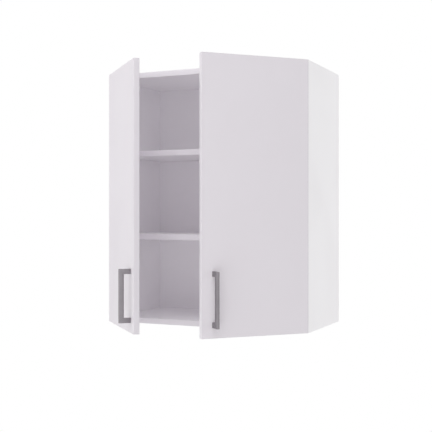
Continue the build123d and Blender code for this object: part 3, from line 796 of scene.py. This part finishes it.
def straight_band(low, high, upright):
    """An edge band on a front edge: a strip with both front arrises rounded."""
    width, length = (high - low)[[0, 2] if upright else [2, 0]]
    origin = (low[0], high[1], low[2] if upright else high[2])
    corners = [(0, 0), (band_thickness, 0), (band_thickness, width), (0, width)]
    radii = (BAND_BACK_ARRIS, BAND_ARRIS, BAND_ARRIS, BAND_BACK_ARRIS)
    strip = lifted(corners, radii, (0.0, 0.0), (0.0, length))
    return placed(strip, origin, -Y_AXIS, X_AXIS if upright else -Z_AXIS)


def door_band():
    """The band round a door: a closed strip section carried round the door's outline. The section
    is drawn in from the outline by its inset and lies at a depth through the door."""
    centre, size = (door_low + door_high) / 2, door_high - door_low
    path, normals = rounded_outline(rectangle(size[0], size[2]), BAND_CORNER)
    corners = [(0, 0), (DOOR_THICKNESS, 0), (DOOR_THICKNESS, band_thickness), (0, band_thickness)]
    radii = (BAND_ARRIS, BAND_ARRIS, BAND_BACK_ARRIS, BAND_BACK_ARRIS)
    depth, inset = rounded_outline(corners, radii)[0].T
    flat = path - inset[:, None, None] * normals
    x, z = centre[0] + flat[..., 0], centre[2] + flat[..., 1]
    y = np.broadcast_to(door_low[1] + depth[:, None], x.shape)
    return grid_shape(np.stack((x, y, z), axis=-1), ring=True)


def bow_handle():
    """A U of flat bar seen from the side, its outline carried through the handle's width."""
    reach, strip, length = HANDLE_STANDOFF, HANDLE_STRIP, HANDLE_LENGTH
    corners = [(0, 0), (reach, 0), (reach, length), (0, length), (0, length - strip),
               (reach - strip, length - strip), (reach - strip, strip), (0, strip)]
    bow = slab(corners, HANDLE_CORNER, HANDLE_WIDTH, HANDLE_ARRIS)
    origin = (handle_x + HANDLE_WIDTH / 2, door_low[1], handle_low_z)
    return placed(bow, origin, -Y_AXIS, Z_AXIS)


def add_carcass_bands():
    """Edge bands of the fixed boards."""
    for board in ("left_side", "right_side", "top", "bottom", "upper_shelf", "lower_shelf"):
        low, high = np.array(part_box(board + "_edging"))
        band = straight_band(low, high, upright=board.endswith("side"))
        # Shelf bands take their lighter white, painted light; the other bands the darker one, painted shade
        add_piece(board + "_band", "carcass", [band], "edge_band", board + "_edging",
                  shelf_band_with_painted_light if board.endswith("shelf") else None)


# ------------ hinges and screws

def screw(size, sunk=False):
    """A screw along -Z with its seat at z = 0. Its face is a shallow dome,
    z = crown - sag (r / R)^2, with a cross pressed in, and rings blend from the cross to the
    round rim. A sunk head is flat and tapers below the rim. The thread's radius is
    root + depth w^2, w = (1 + cos(2 pi z / pitch + t)) / 2, and both shrink towards the point."""
    head, rise, shank, length, pitch = size
    reach = CROSS_REACH * head
    cross = cross_outline(reach * tan(CROSS_ANGLE), reach, reach)
    rounding = min(RIM_MAX_HEIGHT * rise, RIM_ROUNDING * head)
    if sunk:
        rounding = SUNK_RIM_ROUNDING * head
    crown, sag, neck = (0.0, 0.0, rise) if sunk else (rise, HEAD_SAG * rise, 0.0)

    def dome(radius):
        """Height of the head's face at a radius."""
        return crown - sag * (radius / head) ** 2

    depth = min(CROSS_MAX_DEPTH * head, rise + CROSS_BELOW_SEAT * shank)
    face, rim = (crown, crown, dome(reach)), head - rounding
    profile = [(share * cross, top - drop * depth)
               for (share, drop), top in zip(CROSS_PROFILE, face)]
    rings = [cross] + [cross + (rim - cross) * blend for blend in HEAD_RINGS]
    profile += [(ring, dome(ring)) for ring in rings]
    profile += quarter(rim, dome(rim) - rounding, rounding, 90)
    profile += [(shank if sunk else head, -neck), (shank, -neck - NECK_LENGTH * shank)]
    z = -np.arange(neck + THREAD_START * shank, length - THREAD_END * shank, pitch / THREAD_ROWS)
    wave = ((1 + np.cos(2 * pi * z[:, None] / pitch + TURN)) / 2) ** 2
    taper = np.clip((length + z) / (POINT_LENGTH * shank), POINT_RADIUS, 1.0)
    thread = shank * taper[:, None] * (1 - THREAD_DEPTH + THREAD_DEPTH * wave)
    return turned(profile + list(zip(thread, z)) + [(TIP_RADIUS * shank, -length)])


def screws(size, places, x_axis, y_axis, sunk=False):
    """The same screw at several places, its head looking along X x Y."""
    shape = screw(size, sunk)
    return [placed(shape, place, x_axis, y_axis) for place in places]


def smoothed(y, stations, values):
    """A height along the arm: straight between stations, its bends rounded by averaging it over a
    short window."""
    window = np.linspace(-ARM_BEND, ARM_BEND, ARM_BEND_SAMPLES)
    return np.interp(y[:, None] + window, stations, values).mean(axis=1)


def hinge_arm(hinge_z):
    """Channel arm: a U section stands at each place y along the arm, from the base line up one
    flange, over the web and down the other, then back along the inside, one sheet thickness in.
    Base and web lines follow the arm's side view, and at the nose both draw in by a share of a
    quarter circle's n - sqrt(n^2 - (n - y)^2)."""
    tip = link_pin_y - LINK_RADIUS - ARM_CLEARANCE
    rear = plate_y + PLATE_RIB[0] / 2 + ARM_REAR_OVERHANG
    rise = plate_y - PLATE_RIB[0] / 2 - ARM_CLEARANCE
    high = link_pin_x + LINK_RADIUS + ARM_CLEARANCE + ARM_SHEET
    low = link_pin_x - LINK_RADIUS - ARM_SHEET
    web, base = rib_x + ARM_SHEET, inner_x + PLATE_THICKNESS + ARM_CLEARANCE

    round_part = np.linspace(0, pi / 2, ARC_STEPS, endpoint=False)
    y = np.concatenate((tip + ARM_NOSE * (1 - np.cos(round_part)),
                        np.linspace(tip + ARM_NOSE, rear, ARM_STATIONS)))
    to_go = np.clip(ARM_NOSE - (y - tip), 0, None)
    nose = ARM_NOSE_SHARE * (ARM_NOSE - np.sqrt(ARM_NOSE ** 2 - to_go ** 2))
    top = smoothed(y, (tip, front_y + ARM_HIGH_END, rise, rear), (high, high, web, web)) - nose
    foot = smoothed(y, (tip, front_y - DOOR_GAP, front_y + ARM_FLANGE_END, rear),
                    (low, low, base, base)) + nose

    # Places across the section and drops below the web. A drop that isn't a number is the foot.
    angle = np.linspace(0, pi / 2, ARC_STEPS)
    across, drops = [], []
    for sheet, way in ((0.0, 1), (ARM_SHEET, -1)):
        half, corner = ARM_HALF_WIDTH - sheet, ARM_CORNER - sheet
        side = np.append(half, half - corner * (1 - np.cos(angle)))
        drop = np.append(np.nan, sheet + corner * (1 - np.sin(angle)))
        across.append(np.concatenate((-side, side[::-1]))[::way])
        drops.append(np.concatenate((drop, drop[::-1]))[::way])
    across, drops = np.concatenate(across), np.concatenate(drops)
    x = np.where(np.isnan(drops), foot[:, None], top[:, None] - np.nan_to_num(drops))
    channel = grid_shape(np.stack((x, np.broadcast_to(y[:, None], x.shape),
                                   np.broadcast_to(hinge_z + across, x.shape)), axis=-1))
    adjuster = (web, plate_y + ARM_ADJUSTER_BACK, hinge_z)
    return [channel] + screws(ADJUSTER_SCREW, [adjuster], Y_AXIS, Z_AXIS)


def hinge_plate(hinge_z):
    """Mounting plate: rounded wings on the side panel and a rounded rib across them."""
    wings = slab(rectangle(*PLATE_WING), PLATE_CORNER, PLATE_THICKNESS, PLATE_ARRIS)
    rib = slab(rectangle(*PLATE_RIB), RIB_CORNER, PLATE_THICKNESS + PLATE_RIB_HEIGHT, RIB_ARRIS)
    return [placed(shape, (inner_x, plate_y, hinge_z), Y_AXIS, Z_AXIS) for shape in (wings, rib)]


def furthest(outline, angles):
    """How far from the origin a ray at each angle last crosses a closed outline, or 0 if it
    misses. The ray meets a line from a to b where n . (a + t (b - a)) = 0, n being square to the
    ray."""
    ray = np.stack((np.cos(angles), np.sin(angles)), axis=1)
    square = np.stack((-ray[:, 1], ray[:, 0]), axis=1)
    ends = np.roll(outline, -1, axis=0)
    before, after = square @ outline.T, square @ ends.T
    crossed = before * after <= 0
    share = before / np.where(crossed & (before != after), before - after, 1.0)
    reach = ray @ outline.T * (1 - share) + ray @ ends.T * share
    return np.where(crossed, reach, 0.0).max(axis=1, initial=0.0)


def hinge_cup(hinge_z):
    """Pressed cup, one surface round the cup's axis: up the inside from the floor, over the lip,
    out to the flange's outline, which is the further of the rim's circle and the ears' rounded
    rectangle at each angle, and back below it to the outside of the cup and its floor. A ray is
    added at each point of the ears and just past their last ones, so that they keep their shape."""
    ears = rounded_outline(rectangle(EAR_WIDTH, EAR_LENGTH), EAR_CORNER)[0] + (EAR_OFFSET, 0.0)
    bearing = np.arctan2(ears[:, 1], ears[:, 0])
    limit = np.abs(bearing).max() + EAR_MARGIN
    angles = np.union1d(TURN, np.append(bearing, (limit, -limit)) % (2 * pi))
    flange = np.maximum(FLANGE_RADIUS, furthest(ears, angles))
    inside, top, bend = CUP_RADIUS - CUP_WALL, FLANGE_THICKNESS, CUP_FLOOR_BEND
    rings = [share * inside for share in CUP_FLOOR_RINGS]
    profile = [(ring, CUP_WALL - CUP_DEPTH) for ring in rings]
    profile += quarter(inside - bend + CUP_WALL, bend - CUP_DEPTH, bend - CUP_WALL, 0)[::-1]
    profile += quarter(inside + LIP_RADIUS, top - LIP_RADIUS, LIP_RADIUS, 180)
    profile += [(flange - FLANGE_ARRIS + step, height) for step, height
                in quarter(0.0, top - FLANGE_ARRIS, FLANGE_ARRIS, 90)]
    profile += [(flange, FLANGE_FOOT), (flange - FLANGE_FOOT, 0.0), (CUP_RADIUS, 0.0)]
    profile += quarter(CUP_RADIUS - bend, bend - CUP_DEPTH, bend, 0)
    profile += [(ring, -CUP_DEPTH) for ring in rings[::-1]]
    return placed(turned(profile, angles), (cup_x, door_high[1], hinge_z), X_AXIS, -Z_AXIS)


def link_pin(hinge_z):
    """Pin across the arm with a low riveted dome at each end: (r sin a, h cos a)."""
    radius, rise = RIVET_HEAD
    angle = np.linspace(0, pi / 2, ARC_STEPS)[1:]
    dome = list(zip(radius * np.sin(angle), ARM_HALF_WIDTH + rise * np.cos(angle)))
    profile = dome + [(LINK_PIN_RADIUS, ARM_HALF_WIDTH), (LINK_PIN_RADIUS, -ARM_HALF_WIDTH)]
    profile += [(step, -height) for step, height in dome[::-1]]
    return placed(turned(profile), (link_pin_x, link_pin_y, hinge_z), X_AXIS, Y_AXIS)


def add_hinges():
    """Arms, plates and pins on the carcass, and cups in the doors."""
    for level, z in hinge_heights.items():
        pressings = {"arm": hinge_arm(z), "plate": hinge_plate(z)}
        for side in ("left", "right"):
            for part, shapes in pressings.items():
                node = f"{side}_{level}_hinge_{part}"
                here = shapes if side == "left" else [mirrored(shape) for shape in shapes]
                add_piece(node + "_pressing", "carcass", here, "hardware_steel", node)
        add_door_pair(level + "_cup_pressing", [hinge_cup(z)], "hardware_steel",
                      level + "_hinge_cup")
    pins = [link_pin(z) for z in hinge_heights.values()]
    add_both_sides("riveted_link_pins", pins, "hardware_steel", "hinge_link_pins")


def add_screws():
    """Screws of the plates, arms, hangers, cups and handles."""
    heights = hinge_heights.values()
    plate_places = [(inner_x + PLATE_THICKNESS, plate_y, z + sign * PLATE_SCREW_SPACING / 2)
                    for z in heights for sign in (-1, 1)]
    arm_places = [(rib_x + ARM_SHEET, plate_y + ARM_SCREW_BACK, z) for z in heights]
    hanger_places = [(x, wall_y, z) for x, z in HANGER_SCREWS]
    for name, node, shapes in (
            ("plate_screws", "hinge_plate_screws",
             screws(PLATE_SCREW, plate_places, Y_AXIS, Z_AXIS)),
            ("arm_screws", "hinge_arm_screws", screws(ARM_SCREW, arm_places, Y_AXIS, Z_AXIS)),
            ("hanger_screws_cross", "hanger_screws",
             screws(HANGER_SCREW, hanger_places, Z_AXIS, X_AXIS, sunk=True))):
        add_both_sides(name, shapes, "hardware_steel", node)

    cup_places = [(cup_x + EAR_OFFSET, door_high[1] + FLANGE_THICKNESS,
                   z + sign * CUP_SCREW_SPACING / 2) for z in heights for sign in (-1, 1)]
    handle_places = [(handle_x, door_high[1], handle_low_z + HANDLE_STRIP / 2 + rise)
                     for rise in (0.0, HANDLE_LENGTH - HANDLE_STRIP)]
    for node, size, places in (("cup_screws", CUP_SCREW, cup_places),
                               ("handle_screws", HANDLE_SCREW, handle_places)):
        add_door_pair(node + "_cross", screws(size, places, Z_AXIS, X_AXIS), "hardware_steel",
                      node)


# ------------ cams, dowels and bumpers

def cam_lock():
    """Die-cast cam, its face at z = 0: a deep cross for the driver, one of its bars longer, a
    round groove near the rim, and a chamfered barrel."""
    half = CAM_SLOT_REACH * tan(CROSS_ANGLE / 2)
    cross = cross_outline(half, half / tan(CROSS_ANGLE), CAM_SLOT_REACH)
    profile = [(share * cross, height) for share, height in CAM_SLOT_PROFILE]
    profile += [((cross + CAM_FACE * CAM_RADIUS) / 2, 0.0)]
    return turned(profile + [(share * CAM_RADIUS, height) for share, height in CAM_PROFILE])


def dowel():
    """Fluted peg: r = R (1 - f sin^2(n t / 2)), narrowed at its chamfered ends."""
    length, centre = sum(DOWEL_DEPTHS), DOWEL_CENTRE * DOWEL_RADIUS
    end = DOWEL_RADIUS - DOWEL_CHAMFER
    flutes = np.sin(DOWEL_FLUTES * DOWEL_TURN / 2) ** 2
    side = DOWEL_RADIUS * (1 - DOWEL_FLUTE_DEPTH * flutes)
    return turned([(centre, 0.0), (end, 0.0), (side, DOWEL_CHAMFER), (side, length - DOWEL_CHAMFER),
                   (end, length), (centre, length)], DOWEL_TURN)


def door_bumper():
    """Soft dome with a short upright rim: z = h (1 - f (r / R)^4)."""
    heights = BUMPER_HEIGHT * (1 - BUMPER_RINGS ** 4 * BUMPER_FALL)
    profile = list(zip(BUMPER_RADIUS * BUMPER_RINGS, heights))
    return turned(profile + [(BUMPER_RADIUS, BUMPER_RIM * BUMPER_HEIGHT), (BUMPER_RADIUS, 0.0),
                             (BUMPER_FOOT * BUMPER_RADIUS, 0.0)])


def add_joints():
    """Cams and dowels at the corners of the carcass, front and rear."""
    cams, pegs = [], []
    for face_z, x_axis, y_axis, middle_z in (
            (top_z, X_AXIS, Y_AXIS, top_z - board_thickness / 2),
            (bottom_z, Y_AXIS, X_AXIS, bottom_z + board_thickness / 2)):
        for y in (front_y + JOINT_FRONT, wall_y - JOINT_REAR):
            cams.append(placed(cam_lock(), (inner_x + CAM_DISTANCE, y, face_z), x_axis, y_axis))
            pegs.append(placed(dowel(), (inner_x - DOWEL_DEPTHS[0], y + DOWEL_STEP, middle_z),
                               Y_AXIS, Z_AXIS))
    add_both_sides("cam_barrels", cams, "cam_metal", "cam_locks")
    add_both_sides("fluted_dowels", pegs, "dowel_wood", "dowels")


def add_bumpers():
    """Bumpers where the doors meet the front edges of the top and bottom panels."""
    domes = [placed(door_bumper(), (door_high[0] - BUMPER_INSET, door_high[1], z), Z_AXIS, X_AXIS)
             for z in (bottom_z + board_thickness / 2, top_z - board_thickness / 2)]
    add_door_pair("bumper_domes", domes, "bumper", "door_bumpers")


add_carcass_bands()
# The door bands take the darker band white: painted shade
add_door_pair("door_band", [door_band()], "edge_band", "door_edging")
add_door_pair("bow_handle", [bow_handle()], "handle_metal", "handle")
add_hinges()
add_screws()
add_joints()
add_bumpers()


# ------------ finishes of the CAD nodes

def finish_node(node, material):
    """Gives a CAD node its material."""
    slots = frame["nodes"][node].data.materials
    slots.clear()
    slots.append(material)


def finish_board(node, faces, **settings):
    """Gives a fixed board its own copy of the board finish, centred on it."""
    low, high = np.array(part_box(node))
    finish_node(node, board_finish(node + "_face", low, high, faces, **settings))


for part in frame["record"]["subparts"]:
    if part["material_slot"] in finishes:
        finish_node(part["node"], finishes[part["material_slot"]])
# The fixed boards take the lighter carcass white: painted light
for node in ("top_panel", "bottom_panel", "lower_shelf", "upper_shelf"):
    finish_board(node, (0.0, 0.0, 1.0))
finish_board("back_panel", (0.0, 1.0, 0.0), raw=hardboard, front_only=True)

door_middle = opened((door_low + door_high) / 2)
door_half = (door_high - door_low) / 2 - np.array((band_thickness, 0, band_thickness))
for side, sign in (("left", 1.0), ("right", -1.0)):
    # The side panels take the lighter carcass white: painted light
    finish_board(side + "_side_panel", (1.0, 0.0, 1.0))
    finish_node(side + "_hanger_plate", hanger_zinc)
    middle = door_middle * np.array((sign, 1.0, 1.0))
    # Each door takes the darker door white: painted shade
    finish_node(side + "_door", board_finish(
        side + "_door_face", middle - door_half, middle + door_half, (0.0, 1.0, 0.0),
        DOOR_WHITE_WITH_PAINTED_SHADE, sign * door_angle))

# ------------ floor, light and camera

# The floor's distance below the cabinet, its rings, and where it fades out
FLOOR_DROP = 1.40
FLOOR_RADII = np.linspace(0.02, 3.0, 12)
FLOOR_FORWARD = 0.2
FLOOR_FADE = (2.2, 3.4)
FLOOR_GREY = (0.9, 0.9, 0.9, 1.0)
FLOOR_ROUGHNESS = 0.8

# Even light from all round, and how often light is passed on
AMBIENT = 0.24
AMBIENT_COLOUR = (1.0, 0.99, 1.0, 1.0)
WHITE = (1.0, 1.0, 1.0, 1.0)
DIFFUSE_BOUNCES = 12
MAX_BOUNCES = 16

# Lamps: place and power
LAMP_SIZE = 3.0
LAMPS = {"key": ((-2.3, -2.5, 0.4), 40.0), "side": ((2.4, 1.6, -0.3), 43.5),
         "front": ((1.2, -2.9, 0.2), 15.0), "low": ((0.3, -2.2, -2.2), 37.0),
         "top": ((0.3, -1.6, 2.6), 60.0), "rear": ((-1.4, 2.6, -0.1), 40.0)}

# The camera stands level, turned to its left by so many degrees. The photograph is so many
# pixels wide and high, with the horizon so far down it.
CAMERA_PLACE = (1.0186, -2.4243, -0.3710)
CAMERA_TURN = radians(24.685)
SENSOR_WIDTH = 36.0
FOCAL_PIXELS = 855.0
FRAME_PIXELS = 432.0
HORIZON_PIXEL = 213.9


def stage_floor():
    """A pale round floor well below the cabinet that fades out towards its rim: rings of
    (r cos t, r sin t)."""
    ring = np.linspace(0, 2 * pi, 2 * AROUND, endpoint=False)
    radii = FLOOR_RADII[:, None]
    x, y = radii * np.cos(ring), radii * np.sin(ring) - FLOOR_FORWARD
    z = np.full_like(x, bottom_z - FLOOR_DROP)
    points, quads, caps = grid_shape(np.stack((x, y, z), axis=-1))
    material, tree, place = new_material("floor")
    far = put(tree, "ShaderNodeVectorMath", {0: place}, operation="LENGTH").outputs["Value"]
    shader = put(tree, "ShaderNodeBsdfPrincipled",
                 {"Base Color": FLOOR_GREY, "Roughness": FLOOR_ROUGHNESS})
    clear = put(tree, "ShaderNodeBsdfTransparent")
    mix = put(tree, "ShaderNodeMixShader", {0: ramp(tree, far, FLOOR_FADE, smooth=True),
                                            1: shader.outputs[0], 2: clear.outputs[0]})
    put(tree, "ShaderNodeOutputMaterial", {0: mix.outputs[0]})
    faces = quads.tolist() + [caps[0].tolist()]
    new_object("floor", new_mesh("floor", points, faces, material))


def world_light():
    """Even soft light from all round, and plain white where the eye or a reflection meets it."""
    world = bpy.data.worlds.new("studio")
    bpy.context.scene.world = world
    world.use_nodes = True
    tree = world.node_tree
    tree.nodes.clear()
    ray = put(tree, "ShaderNodeLightPath").outputs
    seen = maths(tree, "MAXIMUM", ray["Is Camera Ray"], ray["Is Glossy Ray"],
                 ray["Is Transmission Ray"])
    light = put(tree, "ShaderNodeBackground", {"Color": AMBIENT_COLOUR, "Strength": AMBIENT})
    white = put(tree, "ShaderNodeBackground", {"Color": WHITE, "Strength": 1.0})
    mix = put(tree, "ShaderNodeMixShader", {0: seen, 1: light.outputs[0], 2: white.outputs[0]})
    put(tree, "ShaderNodeOutputWorld", {0: mix.outputs[0]})


def stand(name, data, place, direction):
    """A lamp or camera at a place, looking along a direction."""
    holder = new_object(name, data)
    holder.location = place
    holder.rotation_euler = Vector(direction).to_track_quat("-Z", "Y").to_euler()
    return holder


def soft_lamp(name, place, power):
    """A large square white lamp aimed at the middle of the cabinet."""
    lamp = bpy.data.lights.new(name, "AREA")
    lamp.shape, lamp.size, lamp.energy = "SQUARE", LAMP_SIZE, power
    stand(name, lamp, place, (np.array(frame_low) + np.array(frame_high)) / 2 - np.array(place))


stage_floor()
world_light()
for lamp_name, (lamp_place, power) in LAMPS.items():
    soft_lamp(lamp_name, lamp_place, power)

camera = bpy.data.cameras.new("camera")
camera.sensor_width = SENSOR_WIDTH
camera.lens = FOCAL_PIXELS / FRAME_PIXELS * SENSOR_WIDTH
camera.shift_y = (HORIZON_PIXEL - FRAME_PIXELS / 2) / FRAME_PIXELS
scene = bpy.context.scene
scene.camera = stand("camera", camera, CAMERA_PLACE, (-sin(CAMERA_TURN), cos(CAMERA_TURN), 0.0))
scene.view_settings.view_transform = "Standard"
scene.cycles.diffuse_bounces = DIFFUSE_BOUNCES
scene.cycles.max_bounces = MAX_BOUNCES
